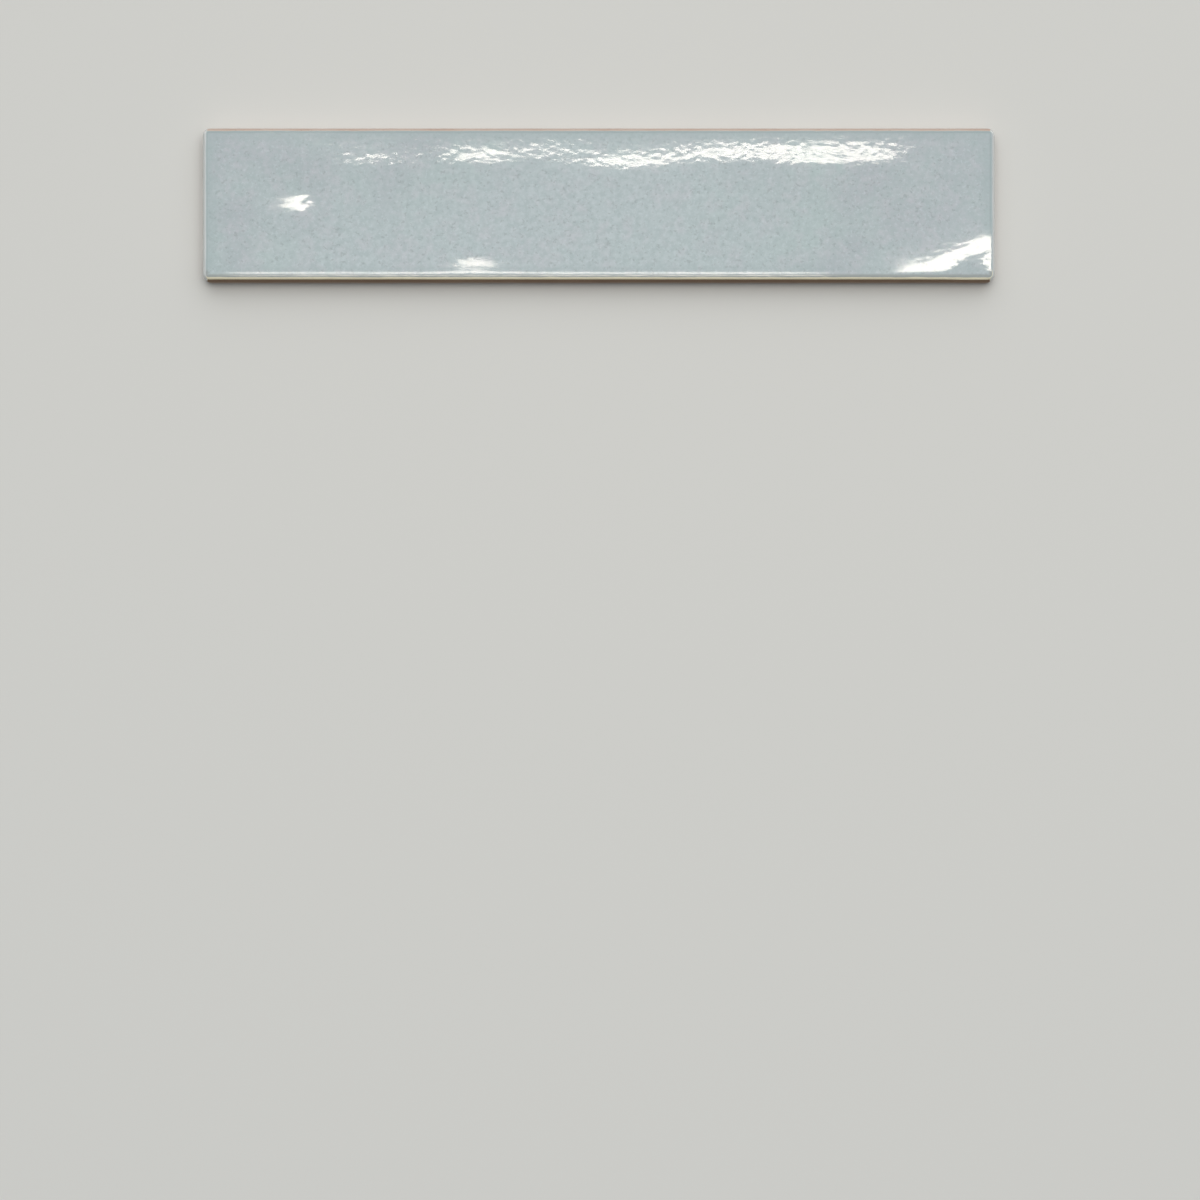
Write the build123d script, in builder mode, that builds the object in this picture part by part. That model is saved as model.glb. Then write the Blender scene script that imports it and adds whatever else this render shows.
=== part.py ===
"""A long, narrow glazed wall tile, pressed, glazed and fired as one piece of porcelain.

The tile lies on its back with the glazed face up. X runs along its length, Y across its width
and Z up through its thickness. The origin is the middle of the back, on the plane that beds
into the adhesive. All sizes are in millimetres.

The body is widest at a vertical land low on its edges. Above the land the edges draw in to the
line where the glaze ends, and a soft rounding leads over to the face. The face is not flat: it
rolls down to its near edge and to its ends, and carries the long, shallow swells and hollows
that make it look handmade. The back has the rim and the lattice of low ribs that key a pressed
tile to its bed.
"""

import os
from collections import namedtuple
from math import atan2, degrees, exp

from build123d import *

# The pressed body
body_length = 300.0
body_width = 58.0
tile_thickness = 8.5  # from the bedding plane to the level of the face between its swells
shoulder = 1.1  # how far the glazed edge stands in from the body's widest line
face_corner_radius = 1.6  # of the glazed edge's corners, seen from above
drawn_in_height = 2.8  # height over which the edges draw in by the shoulder
foot_chamfer = 0.5  # round the back's outer edge
glazed_edge_radius = 1.0  # rounding between the drawn-in edge and the face

# How the face rolls down to three of its edges: the drop at the edge, and how far in it starts.
# Near is the -Y long edge, left and right are the -X and +X ends.
near_drop, near_reach = 0.14, 3.7
left_drop, left_reach = 0.10, 7.0
right_drop, right_reach = 0.10, 7.0

# Swells of the face, and hollows where the rise is negative. Place and spread are in the plan.
Swell = namedtuple("Swell", "x y spread_x spread_y rise")
swells = [
    # A ridge along the far edge, low at the left and broad at the right
    Swell(x=-87.0, y=13.6, spread_x=18.0, spread_y=4.2, rise=0.068),
    Swell(x=-46.0, y=14.2, spread_x=15.0, spread_y=5.2, rise=0.11),
    Swell(x=-20.0, y=15.5, spread_x=14.0, spread_y=6.5, rise=0.07),
    Swell(x=12.0, y=11.8, spread_x=24.0, spread_y=5.2, rise=0.135),
    Swell(x=46.0, y=15.8, spread_x=20.0, spread_y=5.6, rise=0.08),
    Swell(x=88.0, y=13.4, spread_x=33.0, spread_y=6.6, rise=0.18),
    # Glaze gathered along the far edge
    Swell(x=5.0, y=32.0, spread_x=130.0, spread_y=6.0, rise=0.06),
    # A rise and a hollow side by side near the left end
    Swell(x=-127.0, y=-8.0, spread_x=12.0, spread_y=9.0, rise=0.16),
    Swell(x=-113.5, y=6.0, spread_x=10.0, spread_y=8.2, rise=-0.30),
    # A low rise against the near edge
    Swell(x=-47.0, y=-18.8, spread_x=12.0, spread_y=4.4, rise=0.085),
    # The near right corner falls away in three steps
    Swell(x=128.0, y=-34.0, spread_x=14.0, spread_y=8.0, rise=-0.10),
    Swell(x=142.0, y=-32.0, spread_x=8.0, spread_y=9.0, rise=-0.42),
    Swell(x=147.0, y=-20.0, spread_x=6.0, spread_y=6.5, rise=-0.10),
]
face_point_spacing = 4.0  # between the points that the face is fitted through
face_margin = 4.0  # how far the fitted face runs past the body before it is trimmed

# The key on the back
rim_width = 4.0
rib_width = 2.4
recess_columns, recess_rows = 14, 3  # along and across
recess_depth = 0.6
recess_draft = 30.0  # degrees, of the recess walls
recess_corner_radius = 1.0


def roll_off(distance, drop, reach):
    """Fall of the face at a distance in from an edge, zero beyond the reach."""
    if distance >= reach:
        return 0.0
    return drop * (1 - distance / reach) ** 2


def face_height(x, y):
    """Height of the face above the bedding plane at a point of the plan."""
    height = tile_thickness
    height -= roll_off(body_width / 2 + y, near_drop, near_reach)
    height -= roll_off(body_length / 2 + x, left_drop, left_reach)
    height -= roll_off(body_length / 2 - x, right_drop, right_reach)
    for swell in swells:
        along = (x - swell.x) / swell.spread_x
        across = (y - swell.y) / swell.spread_y
        height += swell.rise * exp(-(along**2) - across**2)
    return height


def evenly(span, spacing):
    """Places that divide a centred span into steps of about the spacing."""
    steps = max(2, round(span / spacing))
    return [span * (i / steps - 0.5) for i in range(steps + 1)]


def waved_face():
    """The glazed face as one fitted surface, a little larger than the body."""
    across = evenly(body_width + 2 * face_margin, face_point_spacing)
    along = evenly(body_length + 2 * face_margin, face_point_spacing)
    points = [[(x, y, face_height(x, y)) for x in along] for y in across]
    return Face.make_surface_from_array_of_points(points, tol=0.02, min_deg=5, max_deg=6)


body_corner_radius = face_corner_radius + shoulder
edge_rounding = min(glazed_edge_radius, 0.8 * face_corner_radius)
land_top = tile_thickness - drawn_in_height
draw_in_angle = degrees(atan2(shoulder, drawn_in_height))
headroom = 3.0  # of the pressed blank above the face, cut away by the waved face

with BuildPart() as tile:
    # The body up to the top of its land
    with BuildSketch():
        RectangleRounded(body_length, body_width, body_corner_radius)
    extrude(amount=land_top)
    # The drawn-in edges, carried on above the face
    with BuildSketch(Plane.XY.offset(land_top)):
        RectangleRounded(body_length, body_width, body_corner_radius)
    extrude(amount=drawn_in_height + headroom, taper=draw_in_angle)
    # The waved face
    extrude(
        to_extrude=waved_face(), amount=3 * headroom, dir=(0, 0, 1), mode=Mode.SUBTRACT
    )
    glazed_face = tile.faces().sort_by(Axis.Z)[-1]
    fillet(glazed_face.edges(), radius=edge_rounding)
    back_face = tile.faces().sort_by(Axis.Z)[0]
    chamfer(back_face.edges(), length=foot_chamfer)
    # The recesses between the ribs of the back
    recess_length = (body_length - 2 * rim_width + rib_width) / recess_columns - rib_width
    recess_width = (body_width - 2 * rim_width + rib_width) / recess_rows - rib_width
    with BuildSketch(Plane.XY):
        with GridLocations(
            recess_length + rib_width, recess_width + rib_width, recess_columns, recess_rows
        ):
            RectangleRounded(recess_length, recess_width, recess_corner_radius)
    extrude(amount=recess_depth, taper=recess_draft, mode=Mode.SUBTRACT)

tile.part.label = "tile"

os.makedirs("parts", exist_ok=True)
export_step(tile.part, "parts/tile.step")
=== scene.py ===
"""Looks of a long, narrow porcelain wall tile with a glossy, gently waved glaze.

The tile lies on its back. X runs along it, Y across it and Z up through it, in metres, with the
origin in the middle of its back. One Geometry Nodes tree grows the whole tile as a closed mesh:
the waved face, the rounding where the glaze ends, the drawn-in edges, the upright land, and the
pressed key on the back. One material carries the glaze over into the bare fired body.
"""

from __future__ import annotations

import logging
import math
from dataclasses import dataclass, field
from enum import Enum

import bmesh
import bpy
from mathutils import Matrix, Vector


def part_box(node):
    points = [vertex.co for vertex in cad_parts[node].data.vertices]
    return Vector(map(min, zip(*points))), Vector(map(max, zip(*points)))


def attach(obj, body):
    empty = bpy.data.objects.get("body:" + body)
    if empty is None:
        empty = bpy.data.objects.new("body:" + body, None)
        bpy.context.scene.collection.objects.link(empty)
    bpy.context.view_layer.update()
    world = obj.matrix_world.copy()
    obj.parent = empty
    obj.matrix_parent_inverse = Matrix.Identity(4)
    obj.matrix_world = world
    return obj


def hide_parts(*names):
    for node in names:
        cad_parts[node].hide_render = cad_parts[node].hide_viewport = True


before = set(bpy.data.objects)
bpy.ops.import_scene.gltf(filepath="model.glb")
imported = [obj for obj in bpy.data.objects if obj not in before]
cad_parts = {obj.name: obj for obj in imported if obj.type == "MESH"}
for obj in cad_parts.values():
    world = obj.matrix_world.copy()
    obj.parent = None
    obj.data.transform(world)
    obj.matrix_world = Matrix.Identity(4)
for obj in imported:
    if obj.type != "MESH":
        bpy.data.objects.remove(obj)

log = logging.getLogger("porcelain_tile")

Colour = tuple[float, float, float]
Point = tuple[float, float, float]


def linear(red: int, green: int, blue: int) -> Colour:
    """Turns a colour as a screen shows it, from 0 to 255, into the linear one that nodes use.

    Args:
        red: The red part.
        green: The green part.
        blue: The blue part.

    Returns:
        The linear colour, each part from 0 to 1.
    """

    def one(part: float) -> float:
        """Returns one part made linear."""
        return part / 12.92 if part <= 0.04045 else ((part + 0.055) / 1.055) ** 2.4

    return one(red / 255), one(green / 255), one(blue / 255)


class Signal:
    """A number socket of a node tree. Python's operators on it add Math nodes to the tree."""

    def __init__(self, nodes: Nodes, socket: bpy.types.NodeSocket) -> None:
        """Wraps an output socket of the tree that the nodes belong to."""
        self.nodes = nodes
        self.socket = socket

    def _math(self, operation: str, *terms: Signal | float) -> Signal:
        """Returns the result of one Math node on the terms."""
        node = self.nodes.add("ShaderNodeMath", {"operation": operation}, dict(enumerate(terms)))
        return Signal(self.nodes, node.outputs[0])

    def __add__(self, other: Signal | float) -> Signal:
        """Returns self + other."""
        return self._math("ADD", self, other)

    def __radd__(self, other: float) -> Signal:
        """Returns other + self."""
        return self._math("ADD", other, self)

    def __sub__(self, other: Signal | float) -> Signal:
        """Returns self - other."""
        return self._math("SUBTRACT", self, other)

    def __rsub__(self, other: float) -> Signal:
        """Returns other - self."""
        return self._math("SUBTRACT", other, self)

    def __mul__(self, other: Signal | float) -> Signal:
        """Returns self * other."""
        return self._math("MULTIPLY", self, other)

    def __rmul__(self, other: float) -> Signal:
        """Returns other * self."""
        return self._math("MULTIPLY", other, self)

    def __truediv__(self, other: Signal | float) -> Signal:
        """Returns self / other."""
        return self._math("DIVIDE", self, other)

    def __rtruediv__(self, other: float) -> Signal:
        """Returns other / self."""
        return self._math("DIVIDE", other, self)

    def __pow__(self, power: float) -> Signal:
        """Returns self to a power."""
        return self._math("POWER", self, power)

    def __neg__(self) -> Signal:
        """Returns -self."""
        return self._math("MULTIPLY", self, -1.0)

    def __abs__(self) -> Signal:
        """Returns the size of self without its sign."""
        return self._math("ABSOLUTE", self)

    def sign(self) -> Signal:
        """Returns -1, 0 or 1."""
        return self._math("SIGN", self)

    def root(self) -> Signal:
        """Returns the square root."""
        return self._math("SQRT", self)

    def exp(self) -> Signal:
        """Returns e to the power of self."""
        return self._math("EXPONENT", self)

    def least(self, other: Signal | float) -> Signal:
        """Returns the smaller of the two."""
        return self._math("MINIMUM", self, other)

    def most(self, other: Signal | float) -> Signal:
        """Returns the larger of the two."""
        return self._math("MAXIMUM", self, other)

    def ramp(self, start: float, end: float) -> Signal:
        """Makes a smooth step.

        Args:
            start: The value of self where the step begins.
            end: The value of self where it is complete, which may be the smaller one.

        Returns:
            A signal that goes from 0 to 1.
        """
        settings = {"interpolation_type": "SMOOTHSTEP"}
        inputs = {"Value": self, "From Min": start, "From Max": end}
        return self.nodes.signal(self.nodes.add("ShaderNodeMapRange", settings, inputs), "Result")


class Nodes:
    """Adds nodes to one node tree, of a shader, a world or Geometry Nodes."""

    def __init__(self, tree: bpy.types.NodeTree) -> None:
        """Keeps the tree that nodes are added to."""
        self.tree = tree

    def add(
        self, kind: str, settings: dict[str, object], inputs: dict[str | int, object]
    ) -> bpy.types.Node:
        """Adds one node.

        Args:
            kind: The node's type.
            settings: Its own settings, made before its sockets are filled.
            inputs: A value, a signal or an output socket for each named or numbered input.

        Returns:
            The new node.
        """
        node = self.tree.nodes.new(kind)
        for name, value in settings.items():
            setattr(node, name, value)
        for name, value in inputs.items():
            source = value.socket if isinstance(value, Signal) else value
            if isinstance(source, bpy.types.NodeSocket):
                self.tree.links.new(source, node.inputs[name])
            else:
                node.inputs[name].default_value = source
        return node

    def signal(self, node: bpy.types.Node, output: str | int = 0) -> Signal:
        """Returns one of a node's outputs as a signal."""
        return Signal(self, node.outputs[output])

    def mix(self, share: Signal | float, first: object, second: object) -> bpy.types.NodeSocket:
        """Mixes two colours, each a colour or a socket.

        Args:
            share: How much of the second colour there is, from 0 to 1.
            first: The colour where the share is 0.
            second: The colour where the share is 1.

        Returns:
            The mixed colour.
        """
        node = self.add("ShaderNodeMix", {"data_type": "RGBA"}, {"Factor": share})
        for place, colour in ((6, first), (7, second)):
            if isinstance(colour, bpy.types.NodeSocket):
                self.tree.links.new(colour, node.inputs[place])
            else:
                node.inputs[place].default_value = (*colour, 1.0)
        return node.outputs[2]

    def noise(
        self,
        place: bpy.types.NodeSocket,
        wavelength: float,
        detail: float = 2.0,
        rough: float = 0.5,
    ) -> Signal:
        """Returns a noise of about 0 to 1, in lumps of the wavelength, with finer layers."""
        inputs = {"Vector": place, "Scale": 1.0 / wavelength, "Detail": detail, "Roughness": rough}
        return self.signal(self.add("ShaderNodeTexNoise", {}, inputs), "Fac")

    def split(self, place: bpy.types.NodeSocket) -> tuple[Signal, Signal]:
        """Returns the X and the Y of a place."""
        node = self.add("ShaderNodeSeparateXYZ", {}, {"Vector": place})
        return self.signal(node, "X"), self.signal(node, "Y")

    def vector(self, x: object, y: object, z: object) -> bpy.types.NodeSocket:
        """Returns the three numbers as one vector."""
        return self.add("ShaderNodeCombineXYZ", {}, {"X": x, "Y": y, "Z": z}).outputs[0]

    def join(self, *parts: bpy.types.NodeSocket) -> bpy.types.NodeSocket:
        """Joins geometries.

        Args:
            *parts: The geometries.

        Returns:
            All of them as one.
        """
        node = self.add("GeometryNodeJoinGeometry", {}, {})
        for part in parts:
            self.tree.links.new(part, node.inputs["Geometry"])
        return node.outputs[0]


@dataclass(frozen=True)
class EdgeRoll:
    """How the face rolls down to one edge: the drop at the edge and how far in it starts."""

    drop: float
    reach: float

    def fall(self, distance: Signal) -> Signal:
        """Returns the fall of the face at a distance in from the edge."""
        inside = (1.0 - distance / self.reach).most(0.0)
        return inside * inside * self.drop


@dataclass(frozen=True)
class Swell:
    """One long, low swell of the face, or a hollow where its rise is negative."""

    x: float
    y: float
    spread_x: float
    spread_y: float
    rise: float

    def height(self, x: Signal, y: Signal) -> Signal:
        """Works out the swell's height.

        Args:
            x: Place along the tile.
            y: Place across the tile.

        Returns:
            What the swell adds to the face there.
        """
        along = (x - self.x) / self.spread_x
        across = (y - self.y) / self.spread_y
        return (-(along * along + across * across)).exp() * self.rise


@dataclass
class WavedFace:
    """The face's height over the plan: level, rolled down at three edges, with swells between."""

    near: EdgeRoll = EdgeRoll(drop=0.00014, reach=0.0037)
    left: EdgeRoll = EdgeRoll(drop=0.00010, reach=0.0070)
    right: EdgeRoll = EdgeRoll(drop=0.00010, reach=0.0070)
    swells: tuple[Swell, ...] = (
        # A ridge along the far edge, low at the left and broad at the right
        Swell(x=-0.087, y=0.0136, spread_x=0.018, spread_y=0.0042, rise=0.000068),
        Swell(x=-0.046, y=0.0142, spread_x=0.015, spread_y=0.0052, rise=0.00011),
        Swell(x=-0.02, y=0.0155, spread_x=0.014, spread_y=0.0065, rise=0.00007),
        Swell(x=0.012, y=0.0118, spread_x=0.024, spread_y=0.0052, rise=0.000135),
        Swell(x=0.046, y=0.0158, spread_x=0.02, spread_y=0.0056, rise=0.00008),
        Swell(x=0.088, y=0.0134, spread_x=0.033, spread_y=0.0066, rise=0.00018),
        # Glaze gathered along the far edge
        Swell(x=0.005, y=0.032, spread_x=0.13, spread_y=0.006, rise=0.00006),
        # A rise and a hollow side by side near the left end
        Swell(x=-0.127, y=-0.008, spread_x=0.012, spread_y=0.009, rise=0.00016),
        Swell(x=-0.1135, y=0.006, spread_x=0.01, spread_y=0.0082, rise=-0.0003),
        # A low rise against the near edge
        Swell(x=-0.047, y=-0.0188, spread_x=0.012, spread_y=0.0044, rise=0.000085),
        # The near right corner falls away in three steps
        Swell(x=0.128, y=-0.034, spread_x=0.014, spread_y=0.008, rise=-0.0001),
        Swell(x=0.142, y=-0.032, spread_x=0.008, spread_y=0.009, rise=-0.00042),
        Swell(x=0.147, y=-0.02, spread_x=0.006, spread_y=0.0065, rise=-0.0001),
    )

    def height(
        self, x: Signal, y: Signal, length: Signal, width: Signal, thickness: Signal
    ) -> Signal:
        """Works out the face's height.

        Args:
            x: Place along the tile.
            y: Place across the tile.
            length: The body's length.
            width: The body's width.
            thickness: The level of the face between its swells.

        Returns:
            The height above the plane of the back.
        """
        level = thickness - self.near.fall(width / 2 + y)
        level = level - self.left.fall(length / 2 + x) - self.right.fall(length / 2 - x)
        for swell in self.swells:
            level = level + swell.height(x, y)
        return level


class Attribute(Enum):
    """Named values that the tile's mesh carries from point to point."""

    OUTLINE = "outline"
    OUTWARD = "outward"
    LIP_LEVEL = "lip_level"
    FROM_LIP = "from_lip"

    @property
    def kind(self) -> str:
        """The type of its values."""
        return "FLOAT_VECTOR" if self in (Attribute.OUTLINE, Attribute.OUTWARD) else "FLOAT"


@dataclass
class TileBody:
    """The pressed and glazed tile, grown as one closed mesh by Geometry Nodes.

    The fields are its sizes. Length and width are the CAD solid's, read from the frame.
    """

    length: float
    width: float
    thickness: float = 0.0085  # up to the level of the face between its swells
    shoulder: float = 0.0011  # how far the glazed edge stands in from the body's widest line
    face_corner_radius: float = 0.0016
    drawn_in_height: float = 0.0028  # height over which the edges draw in by the shoulder
    foot_chamfer: float = 0.0005
    edge_radius: float = 0.0010  # rounding between the drawn-in edges and the face
    land_softness: float = 0.00012  # of the bend where the edges start to draw in
    lip_margin: float = 0.00002  # by which the first ring overlaps the rounding
    rim_width: float = 0.0040
    rib_width: float = 0.0024
    recess_columns: int = 14
    recess_rows: int = 3
    recess_depth: float = 0.0006
    recess_draft: float = math.radians(30)
    recess_corner_radius: float = 0.0010
    face: WavedFace = field(default_factory=WavedFace)
    face_step: float = 0.0006  # between the mesh's points on the face
    corner_segments: int = 5
    rounding_steps: int = 6
    weld_distance: float = 2e-6
    sharp_angle: float = math.radians(32)  # past which an edge is shaded sharp

    @property
    def land_top(self) -> float:
        """Level at which the edges start to draw in."""
        return self.thickness - self.drawn_in_height

    @property
    def draw_in_angle(self) -> float:
        """Lean of the drawn-in edges from upright."""
        return math.atan2(self.shoulder, self.drawn_in_height)

    @property
    def lip_inset(self) -> float:
        """How far the line where the face starts to round over stands in from the body."""
        lean = self.draw_in_angle
        wall_end = self.thickness - self.edge_radius * (1 - math.sin(lean))
        return (wall_end - self.land_top) * math.tan(lean) + self.edge_radius * math.cos(lean)

    def build(self, finish: FiredPorcelain) -> bpy.types.Object:
        """Builds the tile.

        Args:
            finish: The finish that the whole tile wears.

        Returns:
            The tile as a plain mesh object at the origin.
        """
        tree = bpy.data.node_groups.new("tile_grower", "GeometryNodeTree")
        tree.interface.new_socket("Geometry", in_out="OUTPUT", socket_type="NodeSocketGeometry")
        sizes = {
            "Length": self.length,
            "Width": self.width,
            "Thickness": self.thickness,
            "Rim width": self.rim_width,
            "Rib width": self.rib_width,
            "Recess columns": self.recess_columns,
            "Recess rows": self.recess_rows,
            "Recess depth": self.recess_depth,
            "Finish": finish.build(),
        }
        sockets = {name: self._input(tree, name, value) for name, value in sizes.items()}
        nodes = Nodes(tree)
        entry = nodes.add("NodeGroupInput", {}, {})
        skin, foot = self._grow_skin(nodes, entry)
        back = self._grow_back(nodes, entry, foot)
        welded = nodes.add(
            "GeometryNodeMergeByDistance",
            {},
            {"Geometry": nodes.join(skin, back), "Distance": self.weld_distance},
        )
        real = nodes.add("GeometryNodeRealizeInstances", {}, {"Geometry": welded.outputs[0]})
        dressed = nodes.add(
            "GeometryNodeSetMaterial",
            {},
            {"Geometry": real.outputs[0], "Material": entry.outputs["Finish"]},
        )
        nodes.add("NodeGroupOutput", {}, {"Geometry": dressed.outputs[0]})
        return self._bake(tree, sizes, sockets)

    def _input(self, tree: bpy.types.NodeTree, name: str, value: object) -> str:
        """Adds a named input to the tree, of a kind that suits a value.

        Args:
            tree: The tree.
            name: The input's name.
            value: What it will be given.

        Returns:
            The input's identifier.
        """
        kinds = {int: "NodeSocketInt", float: "NodeSocketFloat"}
        kind = kinds.get(type(value), "NodeSocketMaterial")
        return tree.interface.new_socket(name, in_out="INPUT", socket_type=kind).identifier

    def _bake(
        self, tree: bpy.types.NodeTree, sizes: dict[str, object], sockets: dict[str, str]
    ) -> bpy.types.Object:
        """Runs the tree once and keeps its result as a plain mesh.

        Args:
            tree: The tree that grows the tile.
            sizes: The value of each named input.
            sockets: The identifier of each named input.

        Returns:
            The finished object.
        """
        seed = bpy.data.objects.new("tile_seed", bpy.data.meshes.new("tile_seed"))
        bpy.context.scene.collection.objects.link(seed)
        grower = seed.modifiers.new("grow", "NODES")
        grower.node_group = tree
        for name, identifier in sockets.items():
            grower[identifier] = sizes[name]
        grown = seed.evaluated_get(bpy.context.evaluated_depsgraph_get())
        mesh = bpy.data.meshes.new_from_object(grown)
        seed.modifiers.remove(grower)
        bpy.data.objects.remove(seed)
        mesh.name = "glazed_tile"
        surface = bmesh.new()
        surface.from_mesh(mesh)
        bmesh.ops.recalc_face_normals(surface, faces=surface.faces)
        open_edges = sum(not edge.is_manifold for edge in surface.edges)
        surface.to_mesh(mesh)
        surface.free()
        mesh.shade_smooth()
        mesh.set_sharp_from_angle(angle=self.sharp_angle)
        tile = bpy.data.objects.new("glazed_tile", mesh)
        bpy.context.scene.collection.objects.link(tile)
        log.info("tile: %d faces, %d open edges", len(mesh.polygons), open_edges)
        return tile

    def _rounded(
        self, x: Signal, y: Signal, half_x: Signal | float, half_y: Signal | float, radius: float
    ) -> tuple[Signal, Signal, Signal, Signal]:
        """Moves a place of a square-cornered rectangle into the same one with round corners.

        Args:
            x: Place along it.
            y: Place across it.
            half_x: Half of the rectangle's length.
            half_y: Half of its width.
            radius: The radius of its corners.

        Returns:
            The new x and y, and the direction that leads out of the rectangle there.
        """
        over_x = (abs(x) - (half_x - radius)).most(0.0)
        over_y = (abs(y) - (half_y - radius)).most(0.0)
        reach = over_x.most(over_y)
        span = (over_x * over_x + over_y * over_y).root().most(1e-9)
        out_x = over_x / span * x.sign()
        out_y = over_y / span * y.sign()
        new_x = abs(x).least(half_x - radius) * x.sign() + out_x * reach
        new_y = abs(y).least(half_y - radius) * y.sign() + out_y * reach
        return new_x, new_y, out_x, out_y

    def _store(
        self,
        nodes: Nodes,
        mesh: bpy.types.NodeSocket,
        name: Attribute,
        value: object,
        selection: object = True,
    ) -> bpy.types.NodeSocket:
        """Stores a value on the mesh's points.

        Args:
            nodes: The tree's nodes.
            mesh: The mesh.
            name: The value's name.
            value: The value.
            selection: Which points get it.

        Returns:
            The mesh with the value.
        """
        inputs = {"Geometry": mesh, "Selection": selection, "Name": name.value, "Value": value}
        stored = nodes.add("GeometryNodeStoreNamedAttribute", {"data_type": name.kind}, inputs)
        return stored.outputs[0]

    def _read(self, nodes: Nodes, name: Attribute) -> bpy.types.NodeSocket:
        """Returns a named value of the mesh."""
        settings, inputs = {"data_type": name.kind}, {"Name": name.value}
        return nodes.add("GeometryNodeInputNamedAttribute", settings, inputs).outputs[0]

    def _grow_skin(
        self, nodes: Nodes, entry: bpy.types.Node
    ) -> tuple[bpy.types.NodeSocket, bpy.types.NodeSocket]:
        """Grows the face from a grid and the edges from its rim, ring by ring, down to the foot.

        Args:
            nodes: The tree's nodes.
            entry: The tree's input node.

        Returns:
            The skin, and the loop of its foot as a curve.
        """
        length, width, thickness = (
            nodes.signal(entry, name) for name in ("Length", "Width", "Thickness")
        )
        inset = self.lip_inset
        grid = nodes.add(
            "GeometryNodeMeshGrid",
            {},
            {
                "Size X": length - 2 * inset,
                "Size Y": width - 2 * inset,
                "Vertices X": round((self.length - 2 * inset) / self.face_step) + 1,
                "Vertices Y": round((self.width - 2 * inset) / self.face_step) + 1,
            },
        )
        here = nodes.add("GeometryNodeInputPosition", {}, {}).outputs[0]
        half_x, half_y = length / 2 - inset, width / 2 - inset
        corner = self.face_corner_radius + self.shoulder - inset
        x, y, out_x, out_y = self._rounded(*nodes.split(here), half_x, half_y, corner)
        height = self.face.height(x, y, length, width, thickness)
        values = {
            Attribute.OUTLINE: nodes.vector(x + out_x * inset, y + out_y * inset, 0.0),
            Attribute.OUTWARD: nodes.vector(out_x, out_y, 0.0),
            Attribute.LIP_LEVEL: height,
            Attribute.FROM_LIP: (half_x - abs(x)).least(half_y - abs(y)),
        }
        skin = grid.outputs["Mesh"]
        for name, value in values.items():
            skin = self._store(nodes, skin, name, value)
        raised = nodes.add(
            "GeometryNodeSetPosition",
            {},
            {"Geometry": skin, "Position": nodes.vector(x, y, height)},
        )
        skin = raised.outputs[0]
        sides = nodes.add("GeometryNodeInputMeshEdgeNeighbors", {}, {}).outputs[0]
        rim = nodes.add(
            "FunctionNodeCompare", {"operation": "LESS_THAN"}, {0: sides, 1: 1.5}
        ).outputs[0]
        for outset, level in self._edge_profile(nodes):
            skin, rim = self._ring(nodes, skin, rim, outset, level)
        foot = nodes.add("GeometryNodeMeshToCurve", {}, {"Mesh": skin, "Selection": rim})
        return skin, foot.outputs[0]

    def _edge_profile(self, nodes: Nodes) -> list[tuple[object, object]]:
        """The rings from the lip down to the foot.

        Args:
            nodes: The tree's nodes.

        Returns:
            How far each ring stands out from the body's outline, and its level.
        """
        lip = Signal(nodes, self._read(nodes, Attribute.LIP_LEVEL))
        lean = self.draw_in_angle
        radius = self.edge_radius
        centre = lip - radius
        wall_end = centre + radius * math.sin(lean)
        centre_outset = (self.land_top - wall_end) * math.tan(lean) - radius * math.cos(lean)
        rings: list[tuple[object, object]] = [(centre_outset + self.lip_margin, lip)]
        for step in range(1, self.rounding_steps + 1):
            turn = math.pi / 2 + (lean - math.pi / 2) * step / self.rounding_steps
            out, up = radius * math.cos(turn), radius * math.sin(turn)
            rings.append((centre_outset + out, centre + up))
        soft = self.land_softness
        rings.append((-soft * math.tan(lean), self.land_top + soft))
        rings.append((0.0, self.land_top - soft))
        rings.append((0.0, self.foot_chamfer))
        rings.append((-self.foot_chamfer, 0.0))
        return rings

    def _ring(
        self,
        nodes: Nodes,
        skin: bpy.types.NodeSocket,
        rim: bpy.types.NodeSocket,
        outset: object,
        level: object,
    ) -> tuple[bpy.types.NodeSocket, bpy.types.NodeSocket]:
        """Grows one ring of faces out of the skin's open rim.

        Args:
            nodes: The tree's nodes.
            skin: The skin so far.
            rim: Which edges are its open rim.
            outset: How far the new rim stands out from the body's outline.
            level: The new rim's level.

        Returns:
            The longer skin, and which edges are its rim now.
        """
        grown = nodes.add(
            "GeometryNodeExtrudeMesh",
            {"mode": "EDGES"},
            {"Mesh": skin, "Selection": rim, "Offset Scale": 0.0},
        )
        new_rim = grown.outputs["Top"]
        outward = nodes.add(
            "ShaderNodeVectorMath",
            {"operation": "SCALE"},
            {0: self._read(nodes, Attribute.OUTWARD), "Scale": outset},
        )
        plan = nodes.add(
            "ShaderNodeVectorMath",
            {"operation": "ADD"},
            {0: self._read(nodes, Attribute.OUTLINE), 1: outward.outputs[0]},
        )
        place = nodes.add(
            "ShaderNodeVectorMath",
            {"operation": "ADD"},
            {0: plan.outputs[0], 1: nodes.vector(0.0, 0.0, level)},
        )
        moved = nodes.add(
            "GeometryNodeSetPosition",
            {},
            {"Geometry": grown.outputs["Mesh"], "Selection": new_rim, "Position": place.outputs[0]},
        )
        below = level - Signal(nodes, self._read(nodes, Attribute.LIP_LEVEL))
        return self._store(nodes, moved.outputs[0], Attribute.FROM_LIP, below, new_rim), new_rim

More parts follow.
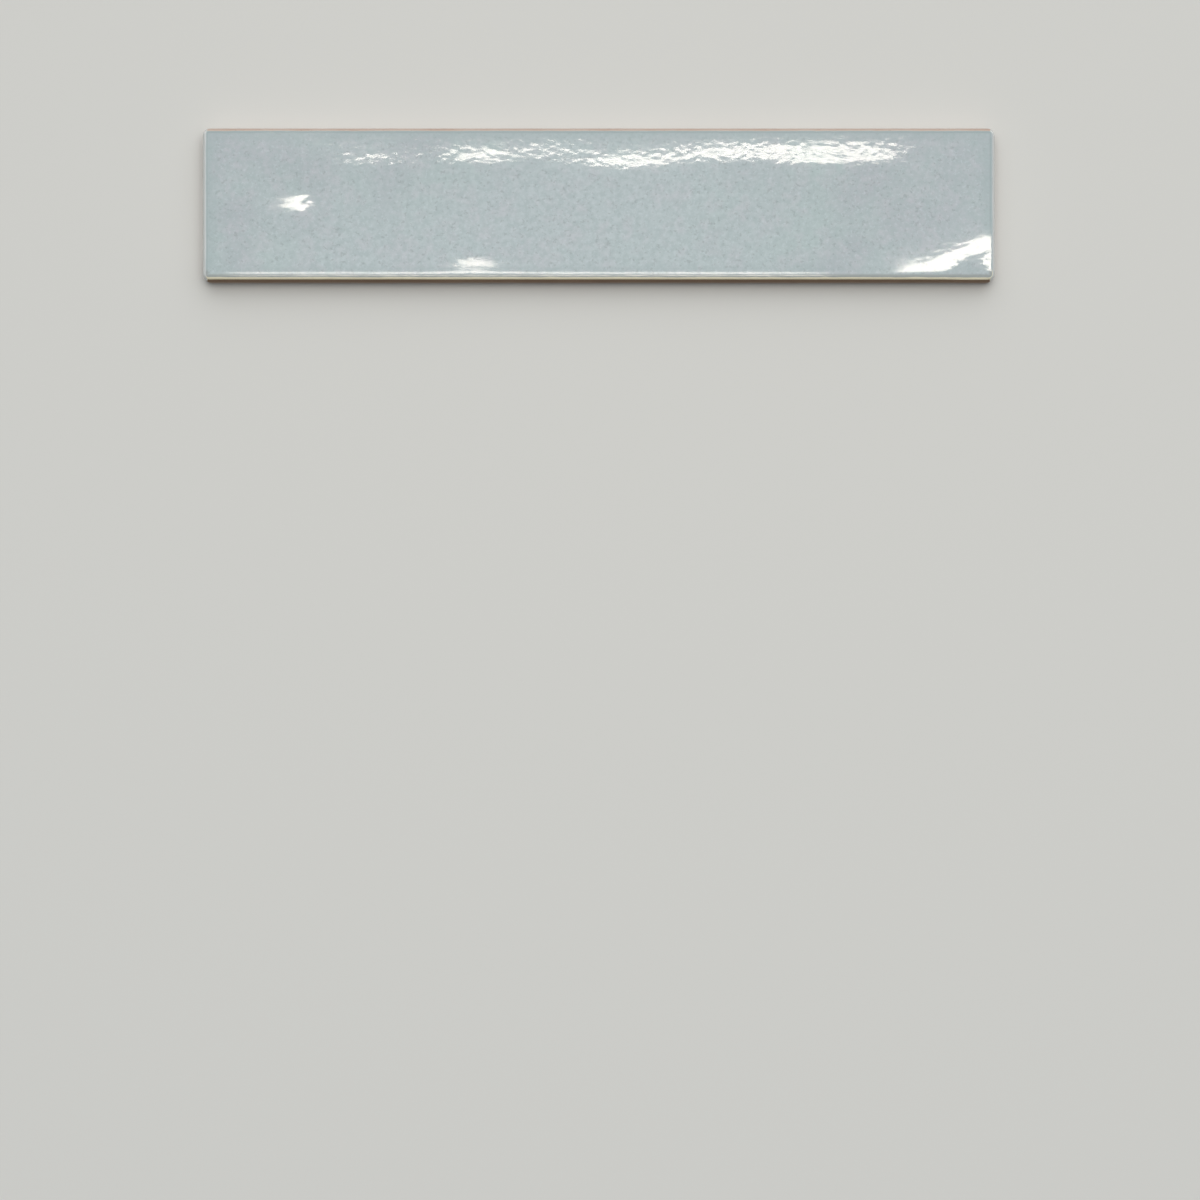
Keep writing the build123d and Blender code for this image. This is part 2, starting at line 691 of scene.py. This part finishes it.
    def _grow_back(
        self, nodes: Nodes, entry: bpy.types.Node, foot: bpy.types.NodeSocket
    ) -> bpy.types.NodeSocket:
        """Closes the back with a plane, and presses the recesses of the key into it.

        Args:
            nodes: The tree's nodes.
            entry: The tree's input node.
            foot: The loop of the skin's foot.

        Returns:
            The back as a mesh.
        """
        columns, rows = (nodes.signal(entry, name) for name in ("Recess columns", "Recess rows"))
        length, width = (nodes.signal(entry, name) for name in ("Length", "Width"))
        rim_width, rib_width = (nodes.signal(entry, name) for name in ("Rim width", "Rib width"))
        depth = nodes.signal(entry, "Recess depth")
        pitch_x = (length - 2 * rim_width + rib_width) / columns
        pitch_y = (width - 2 * rim_width + rib_width) / rows
        opening = (pitch_x - rib_width, pitch_y - rib_width)
        rectangle = nodes.add(
            "GeometryNodeCurvePrimitiveQuadrilateral",
            {"mode": "RECTANGLE"},
            {"Width": opening[0], "Height": opening[1]},
        )
        rim = nodes.add(
            "GeometryNodeFilletCurve",
            {"mode": "POLY"},
            {
                "Curve": rectangle.outputs[0],
                "Count": self.corner_segments,
                "Radius": self.recess_corner_radius,
            },
        ).outputs[0]
        centres = nodes.add(
            "GeometryNodeMeshGrid",
            {},
            {
                "Size X": pitch_x * (columns - 1),
                "Size Y": pitch_y * (rows - 1),
                "Vertices X": columns,
                "Vertices Y": rows,
            },
        ).outputs["Mesh"]
        holes = self._spread(nodes, centres, rim)
        plane = self._fill(nodes, nodes.join(foot, holes))
        recesses = self._spread(nodes, centres, self._recess(nodes, rim, opening, depth))
        back = nodes.join(plane, recesses)
        return self._store(nodes, back, Attribute.FROM_LIP, -self.thickness)

    def _fill(self, nodes: Nodes, loops: bpy.types.NodeSocket) -> bpy.types.NodeSocket:
        """Returns a flat sheet between the loops."""
        return nodes.add(
            "GeometryNodeFillCurve", {"mode": "TRIANGLES"}, {"Curve": loops}
        ).outputs[0]

    def _spread(
        self, nodes: Nodes, centres: bpy.types.NodeSocket, one: bpy.types.NodeSocket
    ) -> bpy.types.NodeSocket:
        """Returns a copy of one thing at each of the centres."""
        inputs = {"Points": centres, "Instance": one}
        copies = nodes.add("GeometryNodeInstanceOnPoints", {}, inputs).outputs[0]
        return nodes.add("GeometryNodeRealizeInstances", {}, {"Geometry": copies}).outputs[0]

    def _recess(
        self,
        nodes: Nodes,
        rim: bpy.types.NodeSocket,
        opening: tuple[Signal, Signal],
        depth: Signal,
    ) -> bpy.types.NodeSocket:
        """Grows one recess up from its rim: the leaning walls and the floor.

        Args:
            nodes: The tree's nodes.
            rim: The recess's rim as a curve.
            opening: Its length and width at the rim.
            depth: How deep it is.

        Returns:
            The recess as a mesh that is open at its rim.
        """
        wire = nodes.add("GeometryNodeCurveToMesh", {}, {"Curve": rim})
        walls = nodes.add(
            "GeometryNodeExtrudeMesh",
            {"mode": "EDGES"},
            {"Mesh": wire.outputs[0], "Offset Scale": 0.0},
        )
        x, y = nodes.split(nodes.add("GeometryNodeInputPosition", {}, {}).outputs[0])
        _, _, out_x, out_y = self._rounded(
            x, y, opening[0] / 2, opening[1] / 2, self.recess_corner_radius
        )
        lean = depth * math.tan(self.recess_draft)
        raised = nodes.add(
            "GeometryNodeSetPosition",
            {},
            {
                "Geometry": walls.outputs["Mesh"],
                "Selection": walls.outputs["Top"],
                "Position": nodes.vector(x - out_x * lean, y - out_y * lean, depth),
            },
        ).outputs[0]
        brim = nodes.add(
            "GeometryNodeMeshToCurve", {}, {"Mesh": raised, "Selection": walls.outputs["Top"]}
        )
        floor = nodes.add(
            "GeometryNodeTransform",
            {},
            {
                "Geometry": self._fill(nodes, brim.outputs[0]),
                "Translation": nodes.vector(0.0, 0.0, depth),
            },
        )
        return nodes.join(raised, floor.outputs[0])


@dataclass(frozen=True)
class Spot:
    """What the finish knows of a point of the tile's surface.

    Lip is the distance in from the line where the face starts to round over, less than 0 below
    it. Near, far, end and right go from 0 to 1 at the near edge, the far edge, both ends and the
    right end.
    """

    place: bpy.types.NodeSocket
    x: Signal
    y: Signal
    lip: Signal
    near: Signal
    far: Signal
    end: Signal
    right: Signal


@dataclass(frozen=True)
class Ripple:
    """Small ripples that the glaze froze with, stretched along the tile."""

    height: float
    wavelength: float
    stretch: float

    def build(self, nodes: Nodes, spot: Spot) -> Signal:
        """Works out the ripples' height.

        Args:
            nodes: The material's nodes.
            spot: The point of the surface.

        Returns:
            The height there, in metres, above or below 0.
        """
        inputs = {"Vector": spot.place, "Scale": (1 / self.stretch, 1.0, 1.0)}
        drawn = nodes.add("ShaderNodeMapping", {}, inputs).outputs[0]
        return (nodes.noise(drawn, self.wavelength, 0.0) - 0.5) * self.height


@dataclass(frozen=True)
class Mottle:
    """Patches or specks of another colour, where a noise passes from start to end."""

    colour: Colour
    share: float
    wavelength: float
    detail: float
    rough: float
    start: float
    end: float

    def over(
        self, nodes: Nodes, spot: Spot, base: Colour | bpy.types.NodeSocket
    ) -> bpy.types.NodeSocket:
        """Lays the patches over a colour.

        Args:
            nodes: The material's nodes.
            spot: The point of the surface.
            base: The colour below them.

        Returns:
            The mottled colour.
        """
        noise = nodes.noise(spot.place, self.wavelength, self.detail, self.rough)
        return nodes.mix(noise.ramp(self.start, self.end) * self.share, base, self.colour)


@dataclass(frozen=True)
class LipBand:
    """A band of colour along the tile's edge, where the distance from the lip passes a step."""

    colour: Colour
    share: float
    start: float
    end: float

    def over(
        self, nodes: Nodes, lip: Signal, where: Signal, base: bpy.types.NodeSocket
    ) -> bpy.types.NodeSocket:
        """Lays the band over a colour.

        Args:
            nodes: The material's nodes.
            lip: Distance in from the lip.
            where: How much of the band each part of the edge gets.
            base: The colour below it.

        Returns:
            The colour with the band.
        """
        return nodes.mix(lip.ramp(self.start, self.end) * where * self.share, base, self.colour)


@dataclass(frozen=True)
class SoftZone:
    """A part of the face with soft borders, each as the places where it starts and is complete."""

    share: float
    x: tuple[tuple[float, float], ...]
    y: tuple[tuple[float, float], ...]

    def cover(self, spot: Spot) -> Signal | float:
        """Works out how far a point is inside.

        Args:
            spot: The point of the surface.

        Returns:
            The zone's share inside it, and 0 outside.
        """
        inside = self.share
        for start, end in self.x:
            inside = spot.x.ramp(start, end) * inside
        for start, end in self.y:
            inside = spot.y.ramp(start, end) * inside
        return inside


@dataclass(frozen=True)
class GlazeLine:
    """Where the glaze ends and the bare body starts, by the distance from the lip."""

    start: float = -0.00034
    end: float = -0.00054
    down_near: float = 0.00060
    up_far: float = 0.00032
    down_ends: float = 0.0025
    runs: float = 0.0009
    run_wavelength: float = 0.014

    def bare(self, nodes: Nodes, spot: Spot) -> Signal:
        """Works out where the body is bare.

        Args:
            nodes: The material's nodes.
            spot: The point of the surface.

        Returns:
            0 on the glaze and 1 on the bare body.
        """
        ends = self.down_ends + nodes.noise(spot.place, self.run_wavelength) * self.runs
        far = spot.far * (1 - spot.end)
        down = spot.end * ends + spot.near * self.down_near - far * self.up_far
        return (spot.lip + down).ramp(self.start, self.end)


@dataclass(frozen=True)
class Glaze:
    """The glossy glaze: clouded and speckled, gathered at the lip and thin where it ends. Its near
    rim is darkened as painted shade, and its thin near edge is lightened as painted light.
    """

    base: Colour = linear(183, 195, 198)
    thick_grey: Colour = linear(172, 178, 184)
    thick_green: Colour = linear(174, 190, 190)
    thicker_along: float = 4.0  # from the middle towards both ends
    thicker_across: float = 8.0  # towards the far edge
    thickness_drift: float = 1.6
    thin_level: float = 0.75
    thick_level: float = 1.45
    mottles: tuple[Mottle, ...] = (
        # A faint lilac tinge
        Mottle(
            linear(188, 191, 197),
            share=0.48,
            wavelength=0.0065,
            detail=2.0,
            rough=0.5,
            start=0.42,
            end=0.66,
        ),
        # Clouds
        Mottle(
            linear(162, 177, 179),
            share=0.60,
            wavelength=0.0022,
            detail=3.0,
            rough=0.65,
            start=0.32,
            end=0.68,
        ),
        # Pale and dark specks
        Mottle(
            linear(198, 209, 214),
            share=0.34,
            wavelength=0.0009,
            detail=2.0,
            rough=0.6,
            start=0.52,
            end=0.72,
        ),
        Mottle(
            linear(140, 149, 151),
            share=0.40,
            wavelength=0.0013,
            detail=2.0,
            rough=0.55,
            start=0.42,
            end=0.30,
        ),
    )
    pooled: LipBand = LipBand(linear(162, 177, 179), share=0.55, start=0.0055, end=0.0004)
    gathered: LipBand = LipBand(linear(154, 168, 170), share=0.9, start=0.0007, end=0.0001)
    # Painted shade: the rim along the near edge is darkened where it turns away from the light
    near_rim_painted_shade: LipBand = LipBand(linear(146, 153, 151), share=0.9, start=0.0012, end=0.0001)
    # Thin cream glaze where it ends, lightened to near white as painted light on the near rounding
    thin_glaze_and_painted_light: LipBand = LipBand(linear(255, 250, 220), share=1.0, start=-0.00004, end=-0.00015)
    thin_and_painted_light_at_far: float = 0.25
    pale_end: LipBand = LipBand(linear(207, 212, 212), share=1.0, start=0.00006, end=-0.00008)
    pale_lag_at_right: float = 0.00018
    coarse: Ripple = Ripple(height=1.7e-5, wavelength=0.0018, stretch=1.6)
    fine: Ripple = Ripple(height=3.2e-6, wavelength=0.0008, stretch=1.3)
    calm: float = 0.36  # height of the ripples outside the lively zones, as a share
    # Where the ripples are lively
    far_ridge: SoftZone = SoftZone(
        share=1.0,
        x=((-0.122, -0.104),),
        y=((0.006, 0.012), (0.0285, 0.0225)),
    )
    left_hollow: SoftZone = SoftZone(
        share=1.0,
        x=((-0.1160, -0.1110), (-0.0990, -0.1050)),
        y=((-0.010, -0.005), (0.010, 0.005)),
    )
    right_corner: SoftZone = SoftZone(
        share=0.6,
        x=((0.118, 0.134),),
        y=((-0.0135, -0.0175),),
    )
    roughness: float = 0.046
    uneven_roughness: float = 0.012
    haze_on_ridge: float = 0.008
    haze_at_near: float = 0.012
    refraction: float = 1.5

    def build(self, nodes: Nodes, spot: Spot) -> bpy.types.NodeSocket:
        """Builds the glaze.

        Args:
            nodes: The material's nodes.
            spot: The point of the surface.

        Returns:
            The shader.
        """
        ridge = self.far_ridge.cover(spot)
        lively = ridge + self.left_hollow.cover(spot) + self.right_corner.cover(spot)
        height = self.coarse.build(nodes, spot) + self.fine.build(nodes, spot)
        height = height * (self.calm + lively * (1 - self.calm))
        bump = nodes.add("ShaderNodeBump", {}, {"Strength": 1.0, "Distance": 1.0, "Height": height})
        uneven = nodes.noise(spot.place, 0.004) * self.uneven_roughness
        at_near = spot.lip.ramp(0.0026, 0.0012) * spot.y.ramp(-0.020, -0.024)
        shader = nodes.add(
            "ShaderNodeBsdfPrincipled",
            {},
            {
                "Base Color": self._colour(nodes, spot),
                "Roughness": self.roughness
                + uneven
                + ridge * self.haze_on_ridge
                + at_near * self.haze_at_near,
                "IOR": self.refraction,
                "Normal": bump.outputs[0],
            },
        )
        return shader.outputs[0]

    def _colour(self, nodes: Nodes, spot: Spot) -> bpy.types.NodeSocket:
        """Mixes the glaze's colour from its thickness, its patches and specks, and its edge.

        Args:
            nodes: The material's nodes.
            spot: The point of the surface.

        Returns:
            The colour.
        """
        level = abs(spot.x) * self.thicker_along + spot.y * self.thicker_across
        level = level + nodes.noise(spot.place, 0.060) * self.thickness_drift
        thick = level.ramp(self.thin_level, self.thick_level)
        patches = nodes.noise(spot.place, 0.025).ramp(0.35, 0.65)
        deep = nodes.mix(patches, self.thick_grey, self.thick_green)
        colour = nodes.mix(0.1 + thick * 0.7, self.base, deep)
        for mottle in self.mottles:
            colour = mottle.over(nodes, spot, colour)
        # Of the edge bands, the near rim band is painted shade and the thin band is partly painted
        # light
        not_near = 1 - spot.near
        lagging = spot.lip + spot.right * self.pale_lag_at_right
        for band, lip, where in (
            (self.pooled, spot.lip, not_near),
            (self.gathered, spot.lip, not_near * (1 - spot.end)),
            (self.near_rim_painted_shade, spot.lip, spot.near),
            (self.thin_glaze_and_painted_light, spot.lip, spot.near + spot.far * self.thin_and_painted_light_at_far),
            (self.pale_end, lagging, spot.end),
        ):
            colour = band.over(nodes, lip, where, colour)
        return colour


@dataclass(frozen=True)
class Clay:
    """The bare fired body: gritty, and tanned where it lies open below the glaze, with painted
    shade down its near edge.
    """

    colour: Colour = linear(183, 162, 152)
    mottles: tuple[Mottle, ...] = (
        # Pale clouds and dark grit
        Mottle(
            linear(191, 175, 167),
            share=1.0,
            wavelength=0.012,
            detail=3.0,
            rough=0.6,
            start=0.3,
            end=0.7,
        ),
        Mottle(
            linear(136, 108, 92),
            share=0.6,
            wavelength=0.0006,
            detail=2.0,
            rough=0.6,
            start=0.62,
            end=0.74,
        ),
    )
    # Tan kiln flash below the glaze all round; along the near edge it is strengthened as painted
    # shade
    flash_and_painted_shade: LipBand = LipBand(linear(160, 134, 100), share=1.0, start=-0.0078, end=-0.0020)
    flash_all_round: float = 0.12
    painted_shade_at_near: float = 0.7
    # Painted shade: the near drawn-in wall is darkened to a dark brown, darkest just below the
    # glaze
    near_wall_painted_shade: LipBand = LipBand(linear(118, 94, 74), share=1.0, start=-0.0084, end=-0.0036)
    painted_shade_top: tuple[float, float] = (-0.0007, -0.0017)
    painted_shade_least: float = 0.55
    painted_shade_uneven: float = 0.5
    grain_height: float = 2.5e-5
    roughness: float = 0.86

    def build(self, nodes: Nodes, spot: Spot) -> bpy.types.NodeSocket:
        """Builds the bare body.

        Args:
            nodes: The material's nodes.
            spot: The point of the surface.

        Returns:
            The shader.
        """
        colour = self.colour
        for mottle in self.mottles:
            colour = mottle.over(nodes, spot, colour)
        # The near edge takes far more of the flash, as painted shade
        flash_and_shade_share = self.flash_all_round + spot.near * self.painted_shade_at_near
        colour = self.flash_and_painted_shade.over(nodes, spot.lip, flash_and_shade_share, colour)
        # Painted shade on the near wall, uneven along its length
        uneven = self.painted_shade_least + nodes.noise(spot.place, 0.018, 3.0) * self.painted_shade_uneven
        painted_shade_share = spot.lip.ramp(*self.painted_shade_top) * spot.near * uneven
        colour = self.near_wall_painted_shade.over(nodes, spot.lip, painted_shade_share, colour)
        grain = nodes.noise(spot.place, 0.0005, 3.0, 0.65)
        inputs = {"Strength": 1.0, "Distance": self.grain_height, "Height": grain}
        bump = nodes.add("ShaderNodeBump", {}, inputs)
        shader = nodes.add(
            "ShaderNodeBsdfPrincipled",
            {},
            {"Base Color": colour, "Roughness": self.roughness, "Normal": bump.outputs[0]},
        )
        return shader.outputs[0]


@dataclass(frozen=True)
class FiredPorcelain:
    """The tile's finish: glaze that runs over its edges, and the bare body below.

    The borders of its edges and ends are distances in from the body's outline, each as the
    places where the edge starts and is complete.
    """

    length: float
    width: float
    near_border: tuple[float, float] = (0.0050, 0.0028)
    far_border: tuple[float, float] = (0.0028, 0.0018)
    end_border: tuple[float, float] = (0.0022, 0.0014)
    wander: float = 0.00016
    wander_wavelength: float = 0.006
    line: GlazeLine = GlazeLine()
    glaze: Glaze = Glaze()
    clay: Clay = Clay()

    def build(self) -> bpy.types.Material:
        """Builds the material.

        Returns:
            The finished material.
        """
        material = bpy.data.materials.new("fired_porcelain")
        material.use_nodes = True
        material.node_tree.nodes.clear()
        nodes = Nodes(material.node_tree)
        spot = self._spot(nodes)
        mixed = nodes.add(
            "ShaderNodeMixShader",
            {},
            {
                0: self.line.bare(nodes, spot),
                1: self.glaze.build(nodes, spot),
                2: self.clay.build(nodes, spot),
            },
        )
        nodes.add("ShaderNodeOutputMaterial", {}, {"Surface": mixed.outputs[0]})
        return material

    def _spot(self, nodes: Nodes) -> Spot:
        """Reads the point of the surface that is being shaded.

        Args:
            nodes: The material's nodes.

        Returns:
            The point.
        """
        place = nodes.add("ShaderNodeTexCoord", {}, {}).outputs["Object"]
        x, y = nodes.split(place)
        settings = {"attribute_name": Attribute.FROM_LIP.value}
        lip = nodes.signal(nodes.add("ShaderNodeAttribute", settings, {}), "Fac")
        half_length, half_width = self.length / 2, self.width / 2
        ends = [half_length - inset for inset in self.end_border]
        return Spot(
            place=place,
            x=x,
            y=y,
            lip=lip + (nodes.noise(place, self.wander_wavelength, 3.0) - 0.5) * self.wander,
            near=y.ramp(*(inset - half_width for inset in self.near_border)),
            far=y.ramp(*(half_width - inset for inset in self.far_border)),
            end=abs(x).ramp(*ends),
            right=x.ramp(*ends),
        )


@dataclass(frozen=True)
class StripLamp:
    """A long softbox that hangs level above the tile, with its sides as places in the plan."""

    name: str
    left: float
    right: float
    near: float
    far: float
    radiance: float
    tint: Colour = (1.0, 0.91, 0.80)

    def build(self, level: float) -> bpy.types.Object:
        """Hangs the lamp.

        Args:
            level: Its height above the floor.

        Returns:
            The lamp.
        """
        light = bpy.data.lights.new(self.name, "AREA")
        light.shape = "RECTANGLE"
        light.size = self.right - self.left
        light.size_y = self.far - self.near
        light.color = self.tint
        light.energy = self.radiance * math.pi * light.size * light.size_y
        lamp = bpy.data.objects.new(self.name, light)
        lamp.location = ((self.left + self.right) / 2, (self.near + self.far) / 2, level)
        bpy.context.scene.collection.objects.link(lamp)
        return lamp


@dataclass
class Studio:
    """The floor, the light and the camera around the tile.

    The camera and the lamps hang at the same distance above the tile's lip.
    """

    distance: float = 1.0
    lip_level: float = 0.0083
    camera_x: float = 0.0005
    camera_y: float = -0.1496
    frame_width: float = 0.4534
    sensor_width: float = 36.0
    floor_half: float = 3.0
    floor_colour: Colour = linear(206, 207, 204)
    floor_roughness: float = 0.95
    floor_shine: float = 0.1
    window: Point = (0.08, 0.5, 0.862)  # the direction that the world's light comes from
    window_focus: float = 3.0
    glow: float = 2.46
    fill: float = 0.03
    backdrop: float = 0.8  # what the camera and reflections see of the world
    lamps: tuple[StripLamp, ...] = (
        StripLamp("far_strip", left=-0.214, right=0.236, near=0.215, far=0.238, radiance=17.5),
        StripLamp("far_box", left=-0.266, right=-0.214, near=0.210, far=0.238, radiance=19.0),
        StripLamp("near_strip", left=-0.276, right=0.169, near=0.055, far=0.0745, radiance=14.0),
        StripLamp("near_box", left=-0.126, right=-0.058, near=0.0745, far=0.0805, radiance=14.0),
        StripLamp("corner_box", left=0.229, right=0.258, near=0.069, far=0.1005, radiance=18.0),
        StripLamp("corner_strip", left=0.258, right=0.420, near=0.0715, far=0.1065, radiance=18.0),
    )

    @property
    def level(self) -> float:
        """Level of the camera and the lamps above the floor."""
        return self.lip_level + self.distance

    def build(self) -> None:
        """Builds everything that isn't the tile."""
        self._lay_floor()
        for lamp in self.lamps:
            lamp.build(self.level)
        self._fill_world()
        self._place_camera()
        bpy.context.scene.view_settings.view_transform = "Standard"

    def _lay_floor(self) -> None:
        """Lays a plain pale floor under the tile."""
        half = self.floor_half
        mesh = bpy.data.meshes.new("floor")
        outline = [(-half, -half, 0), (half, -half, 0), (half, half, 0), (-half, half, 0)]
        mesh.from_pydata(outline, [], [(0, 1, 2, 3)])
        floor = bpy.data.objects.new("floor", mesh)
        bpy.context.scene.collection.objects.link(floor)
        material = bpy.data.materials.new("floor")
        material.use_nodes = True
        shader = material.node_tree.nodes["Principled BSDF"]
        shader.inputs["Base Color"].default_value = (*self.floor_colour, 1.0)
        shader.inputs["Roughness"].default_value = self.floor_roughness
        shader.inputs["Specular IOR Level"].default_value = self.floor_shine
        mesh.materials.append(material)

    def _fill_world(self) -> None:
        """Fills the world with soft light that comes from above and from the far side."""
        world = bpy.data.worlds.new("studio")
        bpy.context.scene.world = world
        world.use_nodes = True
        world.node_tree.nodes.clear()
        nodes = Nodes(world.node_tree)
        direction = nodes.add("ShaderNodeTexCoord", {}, {}).outputs["Generated"]
        dot = nodes.add(
            "ShaderNodeVectorMath", {"operation": "DOT_PRODUCT"}, {0: direction, 1: self.window}
        )
        facing = nodes.signal(dot, "Value").most(0.0)
        light = self.fill + facing**self.window_focus * self.glow
        rays = nodes.add("ShaderNodeLightPath", {}, {})
        seen = nodes.signal(rays, "Is Camera Ray").most(nodes.signal(rays, "Is Glossy Ray"))
        inputs = {"Color": (1, 1, 1, 1), "Strength": light * (1 - seen) + seen * self.backdrop}
        background = nodes.add("ShaderNodeBackground", {}, inputs)
        nodes.add("ShaderNodeOutputWorld", {}, {"Surface": background.outputs[0]})

    def _place_camera(self) -> None:
        """Places the camera straight above, so that it sees the photograph's whole frame."""
        lens = bpy.data.cameras.new("camera")
        lens.sensor_width = self.sensor_width
        lens.lens = self.sensor_width * self.distance / self.frame_width
        camera = bpy.data.objects.new("camera", lens)
        camera.location = (self.camera_x, self.camera_y, self.level)
        bpy.context.scene.collection.objects.link(camera)
        bpy.context.scene.camera = camera


def main() -> None:
    """Builds the tile and its studio, and reports each."""
    logging.basicConfig(level=logging.INFO, format="%(name)s %(message)s")
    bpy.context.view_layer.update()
    low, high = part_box("tile")
    length, width = high.x - low.x, high.y - low.y
    body = TileBody(length, width)
    tile = body.build(FiredPorcelain(length, width))
    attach(tile, "root")
    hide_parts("tile")
    log.info("%s: %.1f by %.1f mm", tile.name, length * 1000, width * 1000)
    studio = Studio()
    studio.build()
    log.info("studio: %d lamps", len(studio.lamps))


if __name__ == "__main__":
    main()
